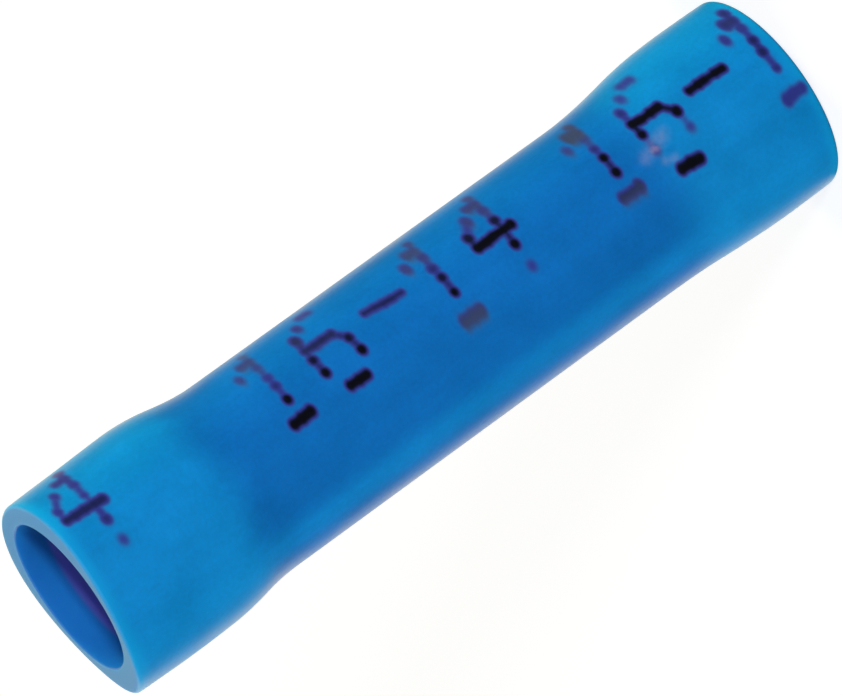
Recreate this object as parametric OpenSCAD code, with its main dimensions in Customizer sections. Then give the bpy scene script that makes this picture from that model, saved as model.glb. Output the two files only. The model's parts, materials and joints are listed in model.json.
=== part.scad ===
// Insulated butt splice connector, for joining two stripped wires end to end.
// A tinned copper crimp barrel, with a wire stop rolled in at mid length, is held in a
// vinyl sleeve that is belled out at both ends. It stands on its lower end, axis on Z.

/* [Barrel] */
// Length of the crimp barrel
barrel_l = 15.8; // [12:0.1:22]
// Bore that takes the stripped wire
wire_bore = 2.4; // [1.8:0.05:3.4]
// Wall of the barrel
barrel_wall = 0.9; // [0.6:0.05:1.2]
// Depth of the wire stop, which is rolled in from outside
stop_depth = 0.45; // [0.2:0.05:0.7]
// Radius of the groove that the wire stop leaves outside
stop_groove_r = 0.9; // [0.75:0.05:1.5]
// Countersink at the mouth of the wire bore
wire_lead_in = 0.2; // [0.05:0.05:0.3]
// Chamfer on the outer edge of the barrel's ends
barrel_chamfer = 0.12; // [0.04:0.02:0.2]

/* [Sleeve] */
// Wall of the sleeve over the barrel
sleeve_wall = 0.75; // [0.5:0.05:1.2]
// Length of sleeve past each end of the barrel
overhang = 4.8; // [4.4:0.1:9]
// Radial clearance between the barrel and the sleeve
seat_clearance = 0.02; // [0.01:0.01:0.05]
// Radial step from the barrel's seat out to the mouths, which take the wire's insulation
mouth_step = 0.25; // [0.15:0.05:0.5]
// Length of barrel that each flare reaches back over
flare_lap = 1.5; // [1:0.1:3]
// Rounding of the outer edge at the mouths
rim_r = 0.15; // [0.05:0.01:0.2]
// Rounding of the inner edge at the mouths
mouth_edge_r = 0.08; // [0.03:0.01:0.12]

/* [Upper bell] */
// Straight length of the upper mouth
upper_mouth_l = 3.3; // [1:0.1:3.5]
// Wall that the upper bell gains over the sleeve's wall
upper_swell = 0.05; // [0:0.01:0.15]
// Radial amount that the upper bell draws in at its mouth
upper_draw = 0.05; // [0.02:0.01:0.12]

/* [Lower bell] */
// Straight length of the lower mouth
lower_mouth_l = 1.68; // [1:0.02:3.5]
// Wall that the lower bell gains over the sleeve's wall
lower_swell = 0.03; // [0:0.01:0.15]
// Radial amount that the lower bell draws in at its mouth
lower_draw = 0.02; // [0.01:0.01:0.12]

/* [Hidden] */
$fn = 240;

sleeve_l = barrel_l + 2 * overhang;
barrel_z = overhang;

wire_r = wire_bore / 2;
barrel_r = wire_r + barrel_wall;
stop_roll_x = barrel_r - stop_depth + stop_groove_r;

seat_r = barrel_r + seat_clearance;
waist_r = seat_r + sleeve_wall;
mouth_r = seat_r + mouth_step;
upper_bell_r = mouth_r + sleeve_wall + upper_swell;
lower_bell_r = mouth_r + sleeve_wall + lower_swell;

// Reach of a cutting shape past the face that it cuts
past = 1;

// Radius of the two equal arcs of an S curve that rises over a length
function s_arc_r(rise, len) = (len * len + rise * rise) / (4 * rise);

// Radius of an arc that leaves a line at a tangent and falls away over a length
function crown_r(fall, len) = (len * len + fall * fall) / (2 * fall);

// Area between the Y axis and an S curve from r0 at y = 0 out to r1 at y = len
module s_area(r0, r1, len) {
    arc_r = s_arc_r(r1 - r0, len);
    difference() {
        square([r1, len / 2]);
        translate([r0 + arc_r, 0]) circle(arc_r);
    }
    intersection() {
        translate([0, len / 2]) square([r1 + past, len / 2]);
        translate([r1 - arc_r, len]) circle(arc_r);
    }
}

// Outer area of one bell, with y = 0 at the end of the barrel and the mouth at y = overhang
module bell_area(bell_r, mouth_l, draw) {
    flare_y = overhang - mouth_l;
    crown = crown_r(draw, mouth_l);
    rim_y = overhang - rim_r;
    // The rim's arc is tangent to the crown and to the end face
    rim_x = bell_r - crown + sqrt(pow(crown - rim_r, 2) - pow(mouth_l - rim_r, 2));
    rim_start_y = flare_y + (mouth_l - rim_r) * crown / (crown - rim_r);

    translate([0, -flare_lap]) s_area(waist_r, bell_r, flare_y + flare_lap);
    difference() {
        intersection() {
            translate([0, flare_y]) square([bell_r + past, mouth_l]);
            translate([bell_r - crown, flare_y]) circle(crown);
        }
        difference() {
            translate([rim_x, rim_start_y]) square([past, past]);
            translate([rim_x, rim_y]) circle(rim_r);
        }
    }
}

// Bore of one bell, from the end of the barrel out past the mouth
module bell_bore_area(mouth_l) {
    flare_y = overhang - mouth_l;
    edge_y = overhang - mouth_edge_r;

    s_area(seat_r, mouth_r, flare_y);
    translate([0, flare_y]) square([mouth_r, mouth_l + past]);
    difference() {
        translate([0, edge_y]) square([mouth_r + mouth_edge_r, mouth_edge_r + past]);
        translate([mouth_r + mouth_edge_r, edge_y]) circle(mouth_edge_r);
    }
}

module at_upper_end() {
    translate([0, barrel_z + barrel_l]) children();
}

module at_lower_end() {
    translate([0, barrel_z]) mirror([0, 1]) children();
}

// Vinyl tube that grips the barrel at its waist and opens into a bell at each end
module insulating_sleeve() {
    color("#1173bd")
    rotate_extrude()
    difference() {
        union() {
            translate([0, barrel_z + flare_lap]) square([waist_r, barrel_l - 2 * flare_lap]);
            at_upper_end() bell_area(upper_bell_r, upper_mouth_l, upper_draw);
            at_lower_end() bell_area(lower_bell_r, lower_mouth_l, lower_draw);
        }
        translate([0, barrel_z]) square([seat_r, barrel_l]);
        at_upper_end() bell_bore_area(upper_mouth_l);
        at_lower_end() bell_bore_area(lower_mouth_l);
    }
}

// Half section of the barrel's tube, with both ends chamfered inside and outside
module barrel_tube_area() {
    polygon([
        [wire_r + wire_lead_in, 0],
        [barrel_r - barrel_chamfer, 0],
        [barrel_r, barrel_chamfer],
        [barrel_r, barrel_l - barrel_chamfer],
        [barrel_r - barrel_chamfer, barrel_l],
        [wire_r + wire_lead_in, barrel_l],
        [wire_r, barrel_l - wire_lead_in],
        [wire_r, wire_lead_in],
    ]);
}

// Tinned copper tube, necked in by the wire stop so that each half is a blind socket
module crimp_barrel() {
    color("#c9ccce")
    translate([0, 0, barrel_z])
    rotate_extrude()
    difference() {
        union() {
            barrel_tube_area();
            intersection() {
                square([barrel_r, barrel_l]);
                translate([stop_roll_x, barrel_l / 2]) circle(stop_groove_r + barrel_wall);
            }
        }
        translate([stop_roll_x, barrel_l / 2]) circle(stop_groove_r);
    }
}

insulating_sleeve();
crimp_barrel();
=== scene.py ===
import json
import math

import bpy
import numpy as np
from mathutils import Matrix, Vector


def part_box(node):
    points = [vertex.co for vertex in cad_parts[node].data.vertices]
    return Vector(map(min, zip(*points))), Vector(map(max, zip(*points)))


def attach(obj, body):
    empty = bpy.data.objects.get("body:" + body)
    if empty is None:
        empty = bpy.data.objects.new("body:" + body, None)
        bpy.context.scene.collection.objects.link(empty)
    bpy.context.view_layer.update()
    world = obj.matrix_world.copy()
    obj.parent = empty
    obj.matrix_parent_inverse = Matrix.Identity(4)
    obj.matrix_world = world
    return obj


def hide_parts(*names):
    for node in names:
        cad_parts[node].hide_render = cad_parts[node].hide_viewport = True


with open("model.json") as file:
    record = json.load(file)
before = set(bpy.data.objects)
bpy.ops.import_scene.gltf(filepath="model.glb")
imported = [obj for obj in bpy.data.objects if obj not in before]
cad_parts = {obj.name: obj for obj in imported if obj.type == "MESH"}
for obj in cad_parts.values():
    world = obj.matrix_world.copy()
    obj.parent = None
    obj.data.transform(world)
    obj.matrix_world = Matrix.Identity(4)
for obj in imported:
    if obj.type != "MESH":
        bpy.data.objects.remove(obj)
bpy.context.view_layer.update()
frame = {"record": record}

MM = 0.001
FULL_TURN = 360

# Sizes in millimetres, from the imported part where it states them
sleeve_low, sleeve_high = (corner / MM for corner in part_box("insulating_sleeve"))
barrel_low, barrel_high = (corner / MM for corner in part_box("crimp_barrel"))
mounts = {mount["name"]: mount["dims"] for mount in frame["record"]["mounts"]}

SLEEVE_L = sleeve_high.z
BARREL_BOTTOM = barrel_low.z
BARREL_TOP = barrel_high.z
BARREL_R = barrel_high.x
WIRE_R = mounts["wire_bore_upper"]["r_mm"]
MOUTH_R = mounts["mouth_upper"]["r_mm"]

# Sleeve
SLEEVE_WALL = 0.75
SEAT_CLEARANCE = 0.02
FLARE_LAP = 1.5
RIM_R = 0.12
MOUTH_EDGE_R = 0.08
CUT_EDGE = 0.02
SEAT_R = BARREL_R + SEAT_CLEARANCE
WAIST_R = SEAT_R + SLEEVE_WALL
MOUTH_STEP = MOUTH_R - SEAT_R
BELLS = (
    {"mouth": SLEEVE_L, "barrel_end": BARREL_TOP, "straight": 3.3, "swell": 0.05, "draw": 0.05},
    {"mouth": 0.0, "barrel_end": BARREL_BOTTOM, "straight": 1.68, "swell": 0.03, "draw": 0.02},
)

# The bells were formed hot, and their centres sit a little towards +X
LOWER_LEAN = 0.11
LOWER_LEAN_FADE = (2.6, 6.2)
UPPER_LEAN = 0.06
UPPER_LEAN_RISE = (19.0, 20.7)
UPPER_LEAN_FADE = (20.7, 24.0)
UPPER_HOLE_LEAN = 0.13
UPPER_HOLE_RISE = (20.8, 23.2)

# The blade squeezed the upper end: its outer edge is tilted and saddle shaped, and its inner edge
# stayed flat
CUT_TILT = 0.075
CUT_HIGH_SIDE = math.radians(-23)
CUT_SADDLE = 0.10
CUT_SHORT = 0.03
CUT_REACH = 1.0
# Painted light: the wall beside each cut end is painted paler, as if light that enters the end lit it
LIT_END = (0.0, 0.6)
# Depth over which painted shade turns the bore violet, and over which painted light, as if it came
# through the wall, makes it blue again
BORE_SHADE_DEPTH = (0.85, 1.15)
LIT_BORE = (1.3, 3.4)
# Painted light: a band along the sleeve's flank where less of the barrel shows through, so that it takes
# the
# paler free blue: its middle, half width and strength
PAINTED_BAND_ANGLE = math.radians(-50)
PAINTED_BAND_HALF = math.radians(17)
PAINTED_BAND_STRENGTH = 0.6

# Barrel
STOP_DEPTH = 0.45
STOP_GROOVE_R = 0.9
WIRE_LEAD_IN = 0.2
BARREL_CHAMFER = 0.12
CORNER_BREAK = 0.015
SMOOTH_CORNER = math.radians(165)
STOP_STEPS = 25

# Spacing of the meshes: the print needs the fine columns
OUTER_STEP = 0.06
BORE_STEP = 0.2
EDGE_STEPS = 6
FINE_COLUMN = 1.0
PLAIN_COLUMN = 4.0
PRINTED_SECTOR = (-24, 84)
BARREL_COLUMN = 3.0
# Corners of a face, as steps in rings and in columns
FACE_CORNERS = ((0, 0), (0, 1), (1, 1), (1, 0))
# Bands of the sleeve's colour map
OUTSIDE_BAND = (0.0, 0.66)
BORE_BAND = (0.68, 1.0)

# Print, as an ink-jet head sees it: dots in rows and columns, sprayed from one side of the tube
HEAD_ANGLE = math.radians(57.3)
COLUMN_PITCH = 0.30
# Rows from the top, in row pitches above the foot, and how far the top row lags along the tube
ROW_STEPS = (6, 5, 4, 2.85, 2.05, 1.07, 0)
COLUMN_LAG = 0.18
# Dots are soft, and fainter ones are softer
DOT_R = 0.145
DOT_SOFT = 0.10
FAINT_SOFT = 0.7
# Upper rows spread more round the tube. Dots that are neighbours run together: well along a row, and
# with a narrower link from row to row, which may slant from one row of the figure on
ROW_STRETCH = (1.9, 1.9, 1.8, 1.4, 1.35, 1.35, 1.35)
ROW_LINK_R = 0.9
STEP_LINK_R = 0.72
STEP_LINK_INKS = (1, 1, 0.9, 0.9, 0.8, 0)
SLANT_LINK_ROW = 2
# Dots stray a little, and the grey film over worn dots, partly painted sheen, is smeared round the tube
DOT_R_SPREAD = 0.010
DOT_STRAY = 0.012
FILM_SMEAR = 0.6
FILM_DRIFT = 0.10
PRINT_SEED = 16
TOP_FIGURE = 9
GLYPH_COLUMNS = 5
GLYPHS = {
    "1": ("..X..", ".XX..", "X.X..", "..X..", "..X..", "..X..", ".XXX."),
    "4": ("...X.", "..XX.", ".X.X.", "X..X.", "XXXXX", "...X.", "...X."),
    "6": ("..XX.", ".X...", "X....", "XXXX.", "X...X", "X...X", ".XXX."),
    "-": (".....", ".....", ".....", "XXXXX", ".....", ".....", "....."),
}
# Figure, height of its middle column, foot of its rows, slant of its rows, row pitch, spread of its
# dots, then for each row from the top its ink, and its grey film of wear and painted sheen, both from 0
# to 9
# The fainter ink and the grey film of the upper rows, towards the tube's bright edge, are partly painted
# sheen
PRINTED_LINE = (
    ("4", 24.30, -2.29, 0.10, 0.53, 1.05, "5555764", "2210000"),
    ("1", 17.78, -2.21, 0.00, 0.465, 1.0, "3445699", "5541000"),
    ("6", 15.84, -2.24, 0.04, 0.455, 1.0, "4577899", "2332000"),
    ("-", 13.85, -2.41, 0.11, 0.455, 0.78, "0007000", "0000000"),
    ("1", 12.07, -2.46, 0.00, 0.46, 1.0, "4456895", "5640007"),
    ("4", 10.10, -2.38, 0.00, 0.465, 1.0, "4558994", "5541000"),
    ("1", 6.15, -2.38, 0.00, 0.455, 1.0, "4446997", "8940005"),
    ("6", 4.26, -2.66, 0.16, 0.462, 1.05, "4469949", "0000020"),
    ("-", 2.42, -2.98, 0.06, 0.455, 0.92, "0009000", "0000000"),
    ("1", 0.57, -2.87, -0.03, 0.445, 1.15, "6657765", "1200000"),
)
# Scuffs across the print: from and to, as heights and arcs from the camera's side, then half width and
# strength
SCUFFS = (
    ((5.20, 0.60), (4.40, 0.85), 0.45, 0.45),
    ((4.90, 0.66), (4.82, 0.64), 0.22, 1.00),
    ((4.80, 0.20), (4.55, 0.10), 0.30, 0.40),
)

# Vinyl: sizes of its mottle, its drawn lines and its grain, the squeeze that draws the lines out along
# the tube, and how far each shifts the brightness. The real grain is finer: this one is as coarse as it
# needs to be to show
MOTTLE_SIZE = 1.6
LINE_SIZE = 0.35
GRAIN_SIZE = 0.12
LINE_SQUEEZE = 0.06
MOTTLE_SHIFT = 0.08
LINE_SHIFT = 0.03
GRAIN_SHIFT = 0.05
VINYL_RELIEF = 0.01
VINYL_RELIEF_STRENGTH = 0.25
# Its colour where it is free and where the barrel lies behind it, and the uneven edge between the two
FREE_BLUE = "#0090d0"
BACKED_BLUE = "#0076c0"
BACKED_WANDER = 1.2
BACKED_SOFT = 0.9
# Its marks, each laid over the last one: name, value where it starts, value where it covers, colour
MARKS = (
    # Painted light beside the cut ends
    ("lit_end", 0, 1, "#009ed8"),
    ("ink", 0, 0.5, "#343f94"),
    ("ink", 0.4, 1, "#060812"),
    # Grey film over the print: partly wear, partly painted sheen
    ("rubbed_and_sheen", 0, 1, "#3f4c6a"),
    # Cut faces: their own paler tone, and partly painted sheen
    ("cut", 0, 1, "#58a8de"),
    ("bore", 0, 1, "#1a76c0"),
    # Painted shade far in the bore, then painted light as if through the wall
    ("painted_bore_shade", 0, 1, "#6a6cd0"),
    ("lit_bore", 0, 1, "#4a98ec"),
)
# Scratches in a scuff: colour, size, where they are at their strongest, and how much they then cover
SCUFF_COLOUR = "#b9aecb"
SCRATCH_SIZE = 0.3
SCRATCH_FULL = 0.6
SCRATCH_COVER = 0.5
# Its gloss, and how far light travels in it
VINYL_IOR = 1.53
VINYL_ROUGHNESS = (0.30, 0.40)
CUT_ROUGHNESS = 0.65
SUBSURFACE_SHARE = 0.5
SUBSURFACE_REACH = 0.5
SUBSURFACE_RADII = (0.4, 0.8, 1)

# Tinned copper: size of its drawn lines and of its clouds. The real lines are finer: these are as coarse
# as they need to be to show
TIN_LINE_SIZE = 0.22
TIN_LINE_SQUEEZE = 0.04
TIN_CLOUD_SIZE = 1.2
TIN_COLOURS = ("#d4d7da", "#eaecee")
TIN_ROUGHNESS = (0.28, 0.42)
TIN_RELIEF = 0.01
TIN_RELIEF_STRENGTH = 0.2

# Most values of a noise pattern lie in this range
NOISE_RANGE = (0.3, 0.7)
# Sockets of a mix node: its share, the two colours or numbers, and the mixed colour
MIX_SHARE = 0
FIRST_COLOUR = 6
SECOND_COLOUR = 7
FIRST_NUMBER = 2
SECOND_NUMBER = 3
MIXED_COLOUR = 2

# Camera: it looks at mid height, but for the aim across and up, and its roll gives the tube its slant
CAMERA_DISTANCE = 220
CAMERA_ELEVATION = math.radians(18.449)
CAMERA_ROLL = math.radians(-125.909)
CAMERA_AIM = (-0.007, 0.167)
LENS = 336.5
SENSOR = 36

# Lamps: bearing from the camera's side towards +X, elevation, distance and size in m, light level, tint
LAMPS = (
    ("front_softbox", 9, 13.2, 0.30, 0.03, 0.69, "#f0f2ff"),
    ("key_softbox", 112, 4, 0.30, 0.12, 1.24, "#fff6ca"),
    ("flank_softbox", -116, 4, 0.30, 0.12, 0.97, "#ffffff"),
)
# The room: even light on the part, and white to the camera
AMBIENT = 0.36
WHITE_LEVEL = 1.0
ROOM_WHITE = "#ffffff"
TABLE_SIZE = 2.0
TABLE_MATT = "#808080"
TABLE_SEEN = "#a0a0a0"
# Rays that the table meets from the part's edges start this far on the camera's side of the axis
FLANK_Y = 0.8
# The table and the room behind the object, towards +Y, are the bright side that the edges mirror
BRIGHT_BEARING = math.radians(-175)
BRIGHT_SPREAD = (52, 6)
BRIGHT_LEVELS = (0.05, 1.3)
BRIGHT_TINT = "#fff3e2"
# The ceiling, which the view into the mouths mirrors, grows bright between two elevations
CEILING_RISE = (25, 60)
CEILING_LEVEL = 1.3
# What the camera sees of the table is lifted to white: less near the part, where the lamps reach it and
# its shadow lies, and more over a reach in m
TABLE_GLOW = (0.76, 0.88)
TABLE_GLOW_REACH = (0.06, 0.30)


def smooth(value, start, end):
    """Goes from 0 at start to 1 at end, level at both."""
    share = np.clip((value - start) / (end - start), 0, 1)
    return share * share * (3 - 2 * share)


def spaced(start, end, step):
    """Evenly spaced values from start to end, at most a step apart."""
    return np.linspace(start, end, math.ceil(abs(end - start) / step) + 1)


def towards(bearing, elevation):
    """Unit direction at a bearing from the camera's side towards +X, and an elevation, in radians."""
    level = math.cos(elevation)
    return Vector((math.sin(bearing) * level, -math.cos(bearing) * level, math.sin(elevation)))


# Sections

def sag(along, arc_r):
    """How far an arc falls from its tangent, at a distance along that tangent."""
    return arc_r - np.sqrt(arc_r ** 2 - along ** 2)


def s_rise(along, length, rise):
    """Rise of an S curve of two equal arcs that is level at both ends."""
    arc_r = (length ** 2 + rise ** 2) / (4 * rise)
    first = np.clip(along, 0, length / 2)
    last = np.clip(length - along, 0, length / 2)
    return sag(first, arc_r) + rise / 2 - sag(last, arc_r)


def crown_fall(along, length, fall):
    """Fall of an arc that starts level and has fallen by fall at its end."""
    arc_r = (length ** 2 + fall ** 2) / (2 * fall)
    return sag(np.clip(along, 0, length), arc_r)


def edge_fall(along, length, edge_r):
    """Fall of the round edge that ends a length."""
    return sag(np.clip(along - length + edge_r, 0, edge_r), edge_r)


def sleeve_radii(height):
    """Outer and inner radius of the sleeve at a height."""
    outer = np.full_like(height, WAIST_R)
    inner = np.full_like(height, SEAT_R)
    for bell in BELLS:
        overhang = abs(bell["mouth"] - bell["barrel_end"])
        flare = overhang - bell["straight"]
        past_barrel = (height - bell["barrel_end"]) * math.copysign(1, bell["mouth"] - bell["barrel_end"])
        swell = MOUTH_STEP + bell["swell"]
        outer += s_rise(past_barrel + FLARE_LAP, flare + FLARE_LAP, swell)
        outer -= crown_fall(past_barrel - flare, bell["straight"], bell["draw"])
        outer -= edge_fall(past_barrel, overhang, RIM_R)
        inner += s_rise(past_barrel, flare, MOUTH_STEP)
        inner += edge_fall(past_barrel, overhang, MOUTH_EDGE_R)
    return outer, inner


def tube_heights(step, edge_r):
    """Heights from the bottom of the sleeve to its top, closer together round its edges."""
    round_edge = edge_r * np.sin(np.linspace(0, math.pi / 2, EDGE_STEPS + 1))
    bottom = edge_r - round_edge[::-1]
    top = SLEEVE_L - edge_r + round_edge
    return np.concatenate([bottom, spaced(edge_r, SLEEVE_L - edge_r, step)[1:-1], top])


def sleeve_section():
    """Radius, height and offset towards +X of each ring of the sleeve, up its outside and then down its
    bore. The last value is the number of rings outside."""
    outside = tube_heights(OUTER_STEP, RIM_R)
    outer = sleeve_radii(outside)[0]
    lower_lean = LOWER_LEAN * (1 - smooth(outside, *LOWER_LEAN_FADE))
    upper_lean = UPPER_LEAN * smooth(outside, *UPPER_LEAN_RISE) * (1 - smooth(outside, *UPPER_LEAN_FADE))

    bore = tube_heights(BORE_STEP, MOUTH_EDGE_R)[::-1]
    inner = sleeve_radii(bore)[1]
    bore_lean = LOWER_LEAN * (1 - smooth(bore, LOWER_LEAN_FADE[0], BARREL_BOTTOM))
    bore_lean += UPPER_HOLE_LEAN * smooth(bore, *UPPER_HOLE_RISE)

    rings = np.array([
        np.concatenate([outer, inner]),
        np.concatenate([outside, bore]),
        np.concatenate([lower_lean + upper_lean, bore_lean]),
    ])
    return rings, len(outside)


def broken_corners(outline):
    """A closed outline with a small flat at each sharp corner, and a point beside the flat that keeps the
    face flat."""
    made = []
    for i, corner in enumerate(outline):
        to_last = (outline[i - 1] - corner).normalized()
        to_next = (outline[(i + 1) % len(outline)] - corner).normalized()
        if to_last.angle(to_next) > SMOOTH_CORNER:
            made.append(corner)
        else:
            made += [corner + to_last * reach for reach in (2 * CORNER_BREAK, CORNER_BREAK)]
            made += [corner + to_next * reach for reach in (CORNER_BREAK, 2 * CORNER_BREAK)]
    return made


def barrel_section():
    """Radius, height and offset of each ring of the barrel: up its outside, then down its bore."""
    middle = (BARREL_BOTTOM + BARREL_TOP) / 2
    roll_x = BARREL_R - STOP_DEPTH + STOP_GROOVE_R

    def rolled_stop(wall_r, roll_r):
        """The stop in a wall at wall_r, from bottom to top."""
        half = math.acos((roll_x - wall_r) / roll_r)
        turns = np.linspace(-half, half, STOP_STEPS)
        return [Vector((roll_x - roll_r * math.cos(t), middle + roll_r * math.sin(t))) for t in turns]

    outline = [
        Vector((BARREL_R - BARREL_CHAMFER, BARREL_BOTTOM)),
        Vector((BARREL_R, BARREL_BOTTOM + BARREL_CHAMFER)),
        *rolled_stop(BARREL_R, STOP_GROOVE_R),
        Vector((BARREL_R, BARREL_TOP - BARREL_CHAMFER)),
        Vector((BARREL_R - BARREL_CHAMFER, BARREL_TOP)),
        Vector((WIRE_R + WIRE_LEAD_IN, BARREL_TOP)),
        Vector((WIRE_R, BARREL_TOP - WIRE_LEAD_IN)),
        *rolled_stop(WIRE_R, STOP_GROOVE_R + BARREL_R - WIRE_R)[::-1],
        Vector((WIRE_R, BARREL_BOTTOM + WIRE_LEAD_IN)),
        Vector((WIRE_R + WIRE_LEAD_IN, BARREL_BOTTOM)),
    ]
    radius, height = np.array(broken_corners(outline)).T
    return np.array([radius, height, np.zeros_like(radius)])


# Meshes

def turned(rings, angles):
    """Points of a section turned through the angles: one row for each ring.
    An angle is 0 on the camera's side, -Y, and grows towards +X."""
    radius, height, lean = rings[:, :, None]
    return np.stack(np.broadcast_arrays(
        lean + radius * np.sin(angles), -radius * np.cos(angles), height), -1)


def uneven_cut(rings, angles, skin):
    """How far each point of the sleeve is lifted by the uneven cut of its upper end.
    Skin is true for the rings outside."""
    height = rings[1][:, None]
    edge = (CUT_TILT * np.cos(angles - CUT_HIGH_SIDE) - CUT_SADDLE * np.sin(2 * angles)) * skin
    return (edge - CUT_SHORT) * smooth(height, SLEEVE_L - CUT_REACH, SLEEVE_L)


def closed_mesh(name, points):
    """An object with a closed skin over rows of points, where each row is a ring and the last row meets
    the first."""
    rows, columns, _ = points.shape
    ring, column = np.meshgrid(np.arange(rows), np.arange(columns), indexing="ij")
    corners = [(ring + up) % rows * columns + (column + along) % columns for up, along in FACE_CORNERS]
    faces = np.stack(corners, -1).reshape(-1, len(corners))

    mesh = bpy.data.meshes.new(name)
    mesh.from_pydata((points.reshape(-1, 3) * MM).tolist(), [], faces.tolist())
    mesh.shade_smooth()
    piece = bpy.data.objects.new(name, mesh)
    bpy.context.scene.collection.objects.link(piece)
    return piece


def unroll(piece, rings, angles, outside):
    """Lays the sleeve out flat for its colour map: the outside on one band, the bore on another."""
    radius, height, _ = rings
    ring, column = np.meshgrid(np.arange(len(radius)), np.arange(len(angles)), indexing="ij")
    steps = np.hypot(np.diff(radius, append=radius[0]), np.diff(height, append=height[0]))
    travel = np.concatenate([[0], np.cumsum(steps)])
    turn = np.append(angles, angles[0] + math.tau)
    bands = ((0, outside, OUTSIDE_BAND), (outside, len(radius), BORE_BAND))
    u = np.zeros((len(radius), len(angles), len(FACE_CORNERS)))
    v = np.zeros_like(u)
    for first, last, (low, high) in bands:
        across = (travel - travel[first]) / (travel[last] - travel[first])
        around = low + (high - low) * (turn - turn[0]) / math.tau
        for corner, (up, along) in enumerate(FACE_CORNERS):
            u[first:last, :, corner] = across[ring[first:last] + up]
            v[first:last, :, corner] = around[column[first:last] + along]
    layer = piece.data.uv_layers.new(name="OFBake")
    layer.data.foreach_set("uv", np.stack([u, v], -1).astype(np.float32).ravel())


def mark(piece, shape, name, values):
    """Keeps one number for each point of a piece, for its material. Shape is the points' rows and
    columns."""
    attribute = piece.data.attributes.new(name, "FLOAT", "POINT")
    attribute.data.foreach_set("value", np.broadcast_to(values, shape).astype(np.float32).ravel())


# Print

def stroke_distance(place, start, end):
    """Distance of each place from a straight stroke. A place is a height and an arc from the camera's
    side."""
    run = end - start
    share = np.clip((place - start) @ run / ((run @ run) or 1), 0, 1)
    return np.linalg.norm(place - start - share[..., None] * run, axis=-1)


def printed_strokes():
    """Start, end, half width, stretch round the tube, ink and grey film, of wear and painted sheen, of
    each dot of the print and of each link between two dots."""
    stray = np.random.default_rng(PRINT_SEED)

    def dot_place(glyph_line, row, column):
        """Where a dot lands on the sleeve."""
        _, middle, foot, slant, pitch, *_ = glyph_line
        along = (GLYPH_COLUMNS // 2 - column) * COLUMN_PITCH
        height = middle + along - COLUMN_LAG * (ROW_STEPS[row] / ROW_STEPS[0]) ** 2
        up = foot + along * slant + ROW_STEPS[row] * pitch
        sleeve_r = sleeve_radii(np.array([height]))[0][0]
        arc = sleeve_r * (HEAD_ANGLE + math.asin(up / sleeve_r))
        return np.array([height, arc]) + stray.normal(0, DOT_STRAY, 2)

    strokes = []
    for glyph_line in PRINTED_LINE:
        glyph, *_, spread, inks, rubs_and_sheens = glyph_line
        inks, rubs_and_sheens = ([int(figure) / TOP_FIGURE for figure in figures] for figures in (inks, rubs_and_sheens))
        dots = {(row, column): dot_place(glyph_line, row, column)
                for row, cells in enumerate(GLYPHS[glyph])
                for column, cell in enumerate(cells) if cell == "X"}
        for (row, column), dot in dots.items():
            half = stray.normal(DOT_R, DOT_R_SPREAD) * spread
            strokes.append((dot, dot, half, ROW_STRETCH[row], inks[row], rubs_and_sheens[row]))
            if (row, column + 1) in dots:
                strokes.append((dot, dots[row, column + 1], half * ROW_LINK_R, ROW_STRETCH[row],
                                inks[row], rubs_and_sheens[row]))
            for across in (-1, 0, 1):
                corners = {(row, column + across), (row + 1, column)} & dots.keys()
                may_link = across == 0 or (row >= SLANT_LINK_ROW and not corners)
                if may_link and (row + 1, column + across) in dots:
                    ink = min(inks[row:row + 2]) * STEP_LINK_INKS[row]
                    rub_and_sheen = min(rubs_and_sheens[row:row + 2])
                    strokes.append((dot, dots[row + 1, column + across], half * STEP_LINK_R,
                                    ROW_STRETCH[row], ink, rub_and_sheen))
    return strokes


def print_on(place):
    """Ink at each place on the sleeve's outside, and its grey film of wear and painted sheen."""
    inked = np.zeros(place.shape[:2])
    rubbed_and_sheen = np.zeros_like(inked)

    def spot(start, end, half, soft, stretch, drift):
        """Soft cover of a stroke, longer round the tube by stretch and moved that way by drift."""
        shape = np.array([1, 1 / stretch])
        moved = np.array([0, drift])
        distance = stroke_distance(place * shape, (start + moved) * shape, (end + moved) * shape)
        return 1 - smooth(distance, half - soft, half + soft)

    for start, end, half, stretch, ink, rub_and_sheen in printed_strokes():
        soft = DOT_SOFT * (1 + FAINT_SOFT * (1 - ink))
        inked = np.maximum(inked, ink * spot(start, end, half, soft, stretch, 0))
        if rub_and_sheen:
            film = spot(start, end, half, soft, stretch * (1 + rub_and_sheen * FILM_SMEAR), -FILM_DRIFT)
            rubbed_and_sheen = np.maximum(rubbed_and_sheen, rub_and_sheen * film)
    return inked, rubbed_and_sheen


def scuff_on(place):
    """How hard each place on the sleeve's outside is scuffed."""
    hardest = np.zeros(place.shape[:2])
    for start, end, half, strength in SCUFFS:
        distance = stroke_distance(place, np.array(start), np.array(end))
        hardest = np.maximum(hardest, strength * (1 - smooth(distance, 0, half)))
    return hardest


# Materials

def linear(hex_colour):
    """An sRGB hex colour as linear red, green, blue and alpha."""
    shares = [int(hex_colour[i:i + 2], 16) / 255 for i in (1, 3, 5)]
    return (*[c / 12.92 if c <= 0.04045 else ((c + 0.055) / 1.055) ** 2.4 for c in shares], 1)


def per(size):
    """Texture scale that gives features of about this size in millimetres."""
    return 1 / (size * MM)


def add_node(tree, kind, inputs=None, **settings):
    """Adds a node with its settings. Each input takes a value, or a link from another node's output."""
    node = tree.nodes.new(kind)
    for setting, value in settings.items():
        setattr(node, setting, value)
    for name, value in (inputs or {}).items():
        if isinstance(value, bpy.types.NodeSocket):
            tree.links.new(value, node.inputs[name])
        else:
            node.inputs[name].default_value = value
    return node


def new_material(name):
    """A material with no nodes yet, and its tree."""
    material = bpy.data.materials.new(name)
    material.use_nodes = True
    material.node_tree.nodes.clear()
    return material, material.node_tree


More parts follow.
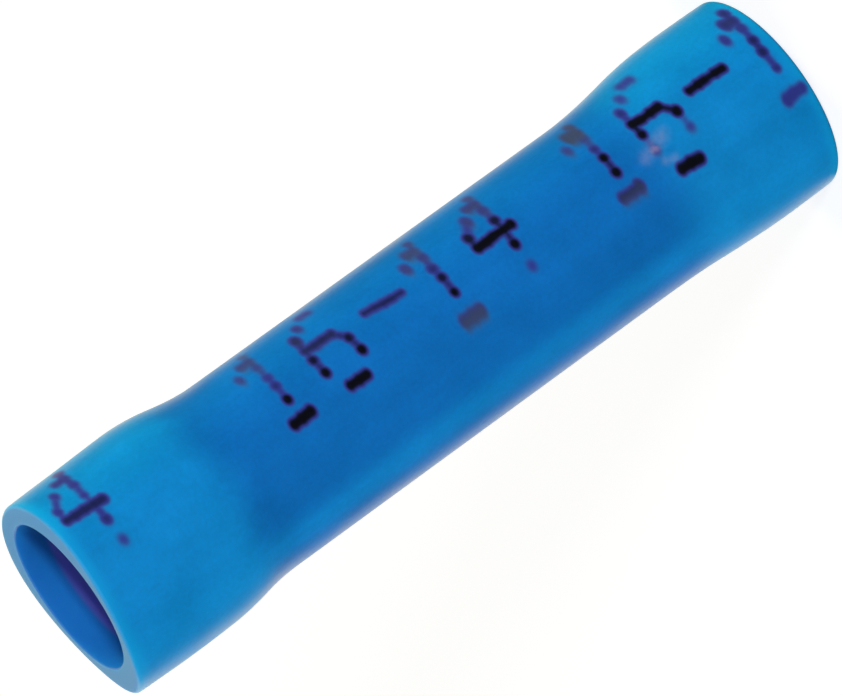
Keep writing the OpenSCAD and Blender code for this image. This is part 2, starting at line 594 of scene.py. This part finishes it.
def extruded_blue_vinyl():
    """Flexible PVC with an extruded satin skin. Light enters it a little, so it is paler where it is free
    and deeper where the barrel lies behind it. A band of painted light along one flank takes the paler
    blue. The print is violet at its edge and black where it is heaviest. Painted light and shade lie at
    the cut ends and in the bore."""
    material, tree = new_material("extruded_blue_vinyl")
    place = add_node(tree, "ShaderNodeTexCoord").outputs["Object"]
    height = add_node(tree, "ShaderNodeSeparateXYZ", {"Vector": place}).outputs["Z"]
    drawn = add_node(tree, "ShaderNodeMapping", {
        "Vector": place, "Scale": (1, 1, LINE_SQUEEZE)}).outputs[0]
    mottle = add_node(tree, "ShaderNodeTexNoise", {
        "Vector": place, "Scale": per(MOTTLE_SIZE), "Detail": 3}).outputs[0]
    lines = add_node(tree, "ShaderNodeTexNoise", {
        "Vector": drawn, "Scale": per(LINE_SIZE), "Detail": 2}).outputs[0]
    grain = add_node(tree, "ShaderNodeTexNoise", {
        "Vector": place, "Scale": per(GRAIN_SIZE), "Detail": 2}).outputs[0]

    # The barrel behind the wall, with an uneven edge, and less of it along the band of painted light
    uneven = add_node(tree, "ShaderNodeMath", {
        0: mottle, 1: BACKED_WANDER * MM, 2: height}, operation="MULTIPLY_ADD").outputs[0]
    backing_less_painted_band = add_node(tree, "ShaderNodeAttribute", attribute_name="backing_under_painted_band").outputs["Fac"]
    for end, inside in ((BARREL_BOTTOM, 1), (BARREL_TOP, -1)):
        middle = end + BACKED_WANDER / 2
        past_end = add_node(tree, "ShaderNodeMapRange", {
            "Value": uneven,
            "From Min": (middle - BACKED_SOFT * inside) * MM,
            "From Max": (middle + BACKED_SOFT * inside) * MM,
        }, interpolation_type="SMOOTHSTEP").outputs[0]
        backing_less_painted_band = add_node(tree, "ShaderNodeMath", {
            0: backing_less_painted_band, 1: past_end}, operation="MULTIPLY").outputs[0]
    colour = add_node(tree, "ShaderNodeMix", {
        MIX_SHARE: backing_less_painted_band,
        FIRST_COLOUR: linear(FREE_BLUE),
        SECOND_COLOUR: linear(BACKED_BLUE),
    }, data_type="RGBA").outputs[MIXED_COLOUR]
    for pattern, shift in ((mottle, MOTTLE_SHIFT), (lines, LINE_SHIFT), (grain, GRAIN_SHIFT)):
        shade = add_node(tree, "ShaderNodeMapRange", {
            "Value": pattern,
            "From Min": NOISE_RANGE[0],
            "From Max": NOISE_RANGE[1],
            "To Min": 1 - shift,
            "To Max": 1 + shift,
        }).outputs[0]
        colour = add_node(tree, "ShaderNodeHueSaturation", {"Color": colour, "Value": shade}).outputs[0]

    # Some of these marks are painted light and shade, in whole or in part
    for name, bare, covered, hue in MARKS:
        value = add_node(tree, "ShaderNodeAttribute", attribute_name=name).outputs["Fac"]
        share = add_node(tree, "ShaderNodeMapRange", {
            "Value": value, "From Min": bare, "From Max": covered},
            interpolation_type="SMOOTHSTEP").outputs[0]
        colour = add_node(tree, "ShaderNodeMix", {
            MIX_SHARE: share, FIRST_COLOUR: colour, SECOND_COLOUR: linear(hue)},
            data_type="RGBA").outputs[MIXED_COLOUR]

    # Scuffs break up into fine pale scratches
    scuff = add_node(tree, "ShaderNodeAttribute", attribute_name="scuff").outputs["Fac"]
    patch = add_node(tree, "ShaderNodeTexNoise", {
        "Vector": place, "Scale": per(SCRATCH_SIZE), "Detail": 4}).outputs[0]
    scratched = add_node(tree, "ShaderNodeMath", {0: scuff, 1: patch}, operation="MULTIPLY").outputs[0]
    share = add_node(tree, "ShaderNodeMapRange", {
        "Value": scratched, "From Max": SCRATCH_FULL, "To Max": SCRATCH_COVER},
        interpolation_type="SMOOTHSTEP").outputs[0]
    colour = add_node(tree, "ShaderNodeMix", {
        MIX_SHARE: share, FIRST_COLOUR: colour, SECOND_COLOUR: linear(SCUFF_COLOUR)},
        data_type="RGBA").outputs[MIXED_COLOUR]

    relief = add_node(tree, "ShaderNodeMath", {0: lines, 1: grain}, operation="ADD").outputs[0]
    normal = add_node(tree, "ShaderNodeBump", {
        "Height": relief, "Strength": VINYL_RELIEF_STRENGTH, "Distance": VINYL_RELIEF * MM}).outputs[0]
    rough = add_node(tree, "ShaderNodeMapRange", {
        "Value": mottle,
        "From Min": NOISE_RANGE[0],
        "From Max": NOISE_RANGE[1],
        "To Min": VINYL_ROUGHNESS[0],
        "To Max": VINYL_ROUGHNESS[1],
    }).outputs[0]
    cut = add_node(tree, "ShaderNodeAttribute", attribute_name="cut").outputs["Fac"]
    rough = add_node(tree, "ShaderNodeMix", {
        MIX_SHARE: cut, FIRST_NUMBER: rough, SECOND_NUMBER: CUT_ROUGHNESS}).outputs[0]
    skin = add_node(tree, "ShaderNodeBsdfPrincipled", {
        "Base Color": colour,
        "Roughness": rough,
        "IOR": VINYL_IOR,
        "Normal": normal,
        "Subsurface Weight": SUBSURFACE_SHARE,
        "Subsurface Radius": SUBSURFACE_RADII,
        "Subsurface Scale": SUBSURFACE_REACH * MM,
    })
    add_node(tree, "ShaderNodeOutputMaterial", {"Surface": skin.outputs[0]})
    return material


def tinned_drawn_copper():
    """Drawn copper tube with bright tin plate: a pale grey metal with faint lines along the tube."""
    material, tree = new_material("tinned_drawn_copper")
    place = add_node(tree, "ShaderNodeTexCoord").outputs["Object"]
    drawn = add_node(tree, "ShaderNodeMapping", {
        "Vector": place, "Scale": (1, 1, TIN_LINE_SQUEEZE)}).outputs[0]
    lines = add_node(tree, "ShaderNodeTexNoise", {
        "Vector": drawn, "Scale": per(TIN_LINE_SIZE), "Detail": 1}).outputs[0]
    cloud = add_node(tree, "ShaderNodeTexNoise", {
        "Vector": place, "Scale": per(TIN_CLOUD_SIZE), "Detail": 3}).outputs[0]
    colour = add_node(tree, "ShaderNodeMix", {
        MIX_SHARE: cloud,
        FIRST_COLOUR: linear(TIN_COLOURS[0]),
        SECOND_COLOUR: linear(TIN_COLOURS[1]),
    }, data_type="RGBA").outputs[MIXED_COLOUR]
    rough = add_node(tree, "ShaderNodeMapRange", {
        "Value": lines,
        "From Min": NOISE_RANGE[0],
        "From Max": NOISE_RANGE[1],
        "To Min": TIN_ROUGHNESS[0],
        "To Max": TIN_ROUGHNESS[1],
    }).outputs[0]
    normal = add_node(tree, "ShaderNodeBump", {
        "Height": lines, "Strength": TIN_RELIEF_STRENGTH, "Distance": TIN_RELIEF * MM}).outputs[0]
    metal = add_node(tree, "ShaderNodeBsdfPrincipled", {
        "Base Color": colour, "Metallic": 1, "Roughness": rough, "Normal": normal})
    add_node(tree, "ShaderNodeOutputMaterial", {"Surface": metal.outputs[0]})
    return material


def mirrored_level(tree, direction):
    """Brightness of the surroundings in a mirrored direction: bright behind the part and overhead, dim in
    front."""
    bright = towards(BRIGHT_BEARING, 0)
    flat = add_node(tree, "ShaderNodeVectorMath", {
        0: direction, 1: (1, 1, 0)}, operation="MULTIPLY").outputs[0]
    unit = add_node(tree, "ShaderNodeVectorMath", {0: flat}, operation="NORMALIZE").outputs[0]
    facing = add_node(tree, "ShaderNodeVectorMath", {
        0: unit, 1: bright}, operation="DOT_PRODUCT").outputs["Value"]
    behind = add_node(tree, "ShaderNodeMapRange", {
        "Value": facing,
        "From Min": math.cos(math.radians(BRIGHT_SPREAD[0])),
        "From Max": math.cos(math.radians(BRIGHT_SPREAD[1])),
        "To Min": BRIGHT_LEVELS[0],
        "To Max": BRIGHT_LEVELS[1],
    }, interpolation_type="SMOOTHSTEP").outputs[0]
    rise = add_node(tree, "ShaderNodeSeparateXYZ", {"Vector": direction}).outputs["Z"]
    overhead = add_node(tree, "ShaderNodeMapRange", {
        "Value": rise,
        "From Min": math.sin(math.radians(CEILING_RISE[0])),
        "From Max": math.sin(math.radians(CEILING_RISE[1])),
        "To Max": CEILING_LEVEL,
    }, interpolation_type="SMOOTHSTEP").outputs[0]
    return add_node(tree, "ShaderNodeMath", {0: behind, 1: overhead}, operation="MAXIMUM").outputs[0]


def matt_white_table():
    """White laminate, matt. The camera sees it as white, with a faint shadow where the part stands."""
    material, tree = new_material("matt_white_table")
    path = add_node(tree, "ShaderNodeLightPath").outputs
    place = add_node(tree, "ShaderNodeNewGeometry").outputs["Position"]
    matt = add_node(tree, "ShaderNodeBsdfDiffuse", {"Color": linear(TABLE_MATT)}).outputs[0]

    # Mirrored, it is as bright as the room in the direction from the part's flank
    flank = Vector((WAIST_R, FLANK_Y, 0)) * MM
    beside = add_node(tree, "ShaderNodeVectorMath", {0: place, 1: -flank}, operation="MAXIMUM").outputs[0]
    beside = add_node(tree, "ShaderNodeVectorMath", {
        0: beside, 1: (flank.x, -flank.y, 0)}, operation="MINIMUM").outputs[0]
    from_flank = add_node(tree, "ShaderNodeVectorMath", {
        0: place, 1: beside}, operation="SUBTRACT").outputs[0]
    mirrored = add_node(tree, "ShaderNodeEmission", {
        "Color": linear(BRIGHT_TINT), "Strength": mirrored_level(tree, from_flank)}).outputs[0]

    # Seen, it is lifted to white and keeps its shadow
    distance = add_node(tree, "ShaderNodeVectorMath", {0: place}, operation="LENGTH").outputs["Value"]
    lift = add_node(tree, "ShaderNodeMapRange", {
        "Value": distance,
        "From Min": TABLE_GLOW_REACH[0],
        "From Max": TABLE_GLOW_REACH[1],
        "To Min": TABLE_GLOW[0],
        "To Max": TABLE_GLOW[1],
    }).outputs[0]
    glow = add_node(tree, "ShaderNodeEmission", {"Strength": lift}).outputs[0]
    shadowed = add_node(tree, "ShaderNodeBsdfDiffuse", {"Color": linear(TABLE_SEEN)}).outputs[0]
    seen = add_node(tree, "ShaderNodeAddShader", {0: glow, 1: shadowed}).outputs[0]

    sharp = add_node(tree, "ShaderNodeMath", {
        0: path["Is Glossy Ray"], 1: path["Is Transmission Ray"]}, operation="MAXIMUM").outputs[0]
    light = add_node(tree, "ShaderNodeMixShader", {0: sharp, 1: matt, 2: mirrored}).outputs[0]
    surface = add_node(tree, "ShaderNodeMixShader", {0: path["Is Camera Ray"], 1: light, 2: seen})
    add_node(tree, "ShaderNodeOutputMaterial", {"Surface": surface.outputs[0]})
    # Its glow is only seen or mirrored, and is no lamp
    material.cycles.emission_sampling = "NONE"
    return material


# Stage

def set_table():
    """A white table under the part."""
    half = TABLE_SIZE / 2
    mesh = bpy.data.meshes.new("table")
    corners = [(-half, -half, 0), (half, -half, 0), (half, half, 0), (-half, half, 0)]
    mesh.from_pydata(corners, [], [range(len(corners))])
    mesh.materials.append(matt_white_table())
    table = bpy.data.objects.new("table", mesh)
    bpy.context.scene.collection.objects.link(table)


def set_room():
    """A plain room: white to the camera, even light on the part, and a bright side and ceiling that it
    mirrors."""
    world = bpy.data.worlds.new("room")
    world.use_nodes = True
    tree = world.node_tree
    tree.nodes.clear()
    path = add_node(tree, "ShaderNodeLightPath").outputs
    direction = add_node(tree, "ShaderNodeTexCoord").outputs["Generated"]
    mirrored = mirrored_level(tree, direction)
    sharp = add_node(tree, "ShaderNodeMath", {
        0: path["Is Glossy Ray"], 1: path["Is Transmission Ray"]}, operation="MAXIMUM").outputs[0]
    level = add_node(tree, "ShaderNodeMix", {
        MIX_SHARE: sharp, FIRST_NUMBER: AMBIENT, SECOND_NUMBER: mirrored}).outputs[0]
    level = add_node(tree, "ShaderNodeMix", {
        MIX_SHARE: path["Is Camera Ray"], FIRST_NUMBER: level, SECOND_NUMBER: WHITE_LEVEL}).outputs[0]
    tint = add_node(tree, "ShaderNodeMix", {
        MIX_SHARE: sharp, FIRST_COLOUR: linear(ROOM_WHITE), SECOND_COLOUR: linear(BRIGHT_TINT)},
        data_type="RGBA").outputs[MIXED_COLOUR]
    light = add_node(tree, "ShaderNodeBackground", {"Color": tint, "Strength": level})
    add_node(tree, "ShaderNodeOutputWorld", {"Surface": light.outputs[0]})
    # Only rays that leave the part's surface meet the room, so that each kind gets its own brightness
    world.cycles.sampling_method = "NONE"
    bpy.context.scene.world = world


def set_lamp(name, bearing, elevation, distance, size, level, tint):
    """A square soft lamp aimed at the part. Level is the light on a matt surface that faces it: 1 is
    white."""
    data = bpy.data.lights.new(name, "AREA")
    data.size = size
    data.energy = level * (math.pi * distance) ** 2
    data.color = linear(tint)[:3]
    lamp = bpy.data.objects.new(name, data)
    lamp.visible_glossy = False
    direction = towards(math.radians(bearing), math.radians(elevation))
    lamp.location = Vector((0, 0, SLEEVE_L / 2 * MM)) + direction * distance
    lamp.rotation_euler = direction.to_track_quat("Z", "Y").to_euler()
    bpy.context.scene.collection.objects.link(lamp)


def set_camera():
    """The photograph's view: from above the upper mouth, rolled so that the tube lies on a slant."""
    data = bpy.data.cameras.new("camera")
    data.lens = LENS
    data.sensor_width = SENSOR
    camera = bpy.data.objects.new("camera", data)
    back = towards(0, CAMERA_ELEVATION)
    level = Vector((1, 0, 0))
    upright = back.cross(level)
    right = level * math.cos(CAMERA_ROLL) + upright * math.sin(CAMERA_ROLL)
    up = back.cross(right)
    aim = Vector((0, 0, SLEEVE_L / 2)) + level * CAMERA_AIM[0] + upright * CAMERA_AIM[1]
    camera.matrix_world = Matrix.Translation((aim + back * CAMERA_DISTANCE) * MM) @ Matrix(
        (right, up, back)).transposed().to_4x4()
    bpy.context.scene.collection.objects.link(camera)
    bpy.context.scene.camera = camera


# The part

def make_sleeve():
    """The vinyl sleeve, with its print, its cut ends and its painted light and shade marked on the mesh.
    """
    rings, outside = sleeve_section()
    printed = np.arange(PRINTED_SECTOR[0], PRINTED_SECTOR[1], FINE_COLUMN)
    plain = np.arange(PRINTED_SECTOR[1], PRINTED_SECTOR[0] + FULL_TURN, PLAIN_COLUMN)
    angles = np.radians(np.concatenate([printed, plain]))
    skin = (np.arange(rings.shape[1]) < outside)[:, None]
    points = turned(rings, angles)
    points[..., 2] += uneven_cut(rings, angles, skin)
    sleeve = closed_mesh("insulating_sleeve_vinyl", points)
    unroll(sleeve, rings, angles, outside)

    radius, height, _ = rings[:, :, None]
    from_end = np.minimum(height, SLEEVE_L - height)
    cut = 1 - smooth(from_end, 0, CUT_EDGE)
    around = np.where(angles > math.pi, angles - math.tau, angles)
    place = np.stack(np.broadcast_arrays(height, radius * around), -1)
    # Painted light: a band along one flank
    painted_band = 1 - smooth(np.abs(around - PAINTED_BAND_ANGLE), 0, PAINTED_BAND_HALF)
    ink, rubbed_and_sheen = print_on(place)
    marks = {
        "ink": ink * skin,
        # Grey film over the print: partly wear, partly painted sheen
        "rubbed_and_sheen": rubbed_and_sheen * skin,
        "scuff": scuff_on(place) * skin,
        # Painted light beside the cut ends
        "lit_end": (1 - smooth(from_end, *LIT_END)) * skin,
        # Cut faces, paler partly by painted sheen
        "cut": cut,
        "bore": (1 - cut) * ~skin,
        # Painted shade far in the bore, then painted light as if through the wall
        "painted_bore_shade": smooth(from_end, *BORE_SHADE_DEPTH) * ~skin,
        "lit_bore": smooth(from_end, *LIT_BORE) * ~skin,
        # Less barrel behind the wall along the band of painted light
        "backing_under_painted_band": 1 - PAINTED_BAND_STRENGTH * painted_band,
    }
    for name, values in marks.items():
        mark(sleeve, points.shape[:2], name, values)

    sleeve.data.materials.append(extruded_blue_vinyl())
    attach(sleeve, "root")
    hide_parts("insulating_sleeve")


def make_barrel():
    """The tinned copper barrel, with its rolled wire stop."""
    angles = np.radians(np.arange(0, FULL_TURN, BARREL_COLUMN))
    barrel = closed_mesh("crimp_barrel_tinned", turned(barrel_section(), angles))
    barrel.data.materials.append(tinned_drawn_copper())
    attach(barrel, "root")
    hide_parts("crimp_barrel")


set_camera()
make_sleeve()
make_barrel()
set_table()
set_room()
for lamp in LAMPS:
    set_lamp(*lamp)

bpy.context.scene.view_settings.view_transform = "Standard"
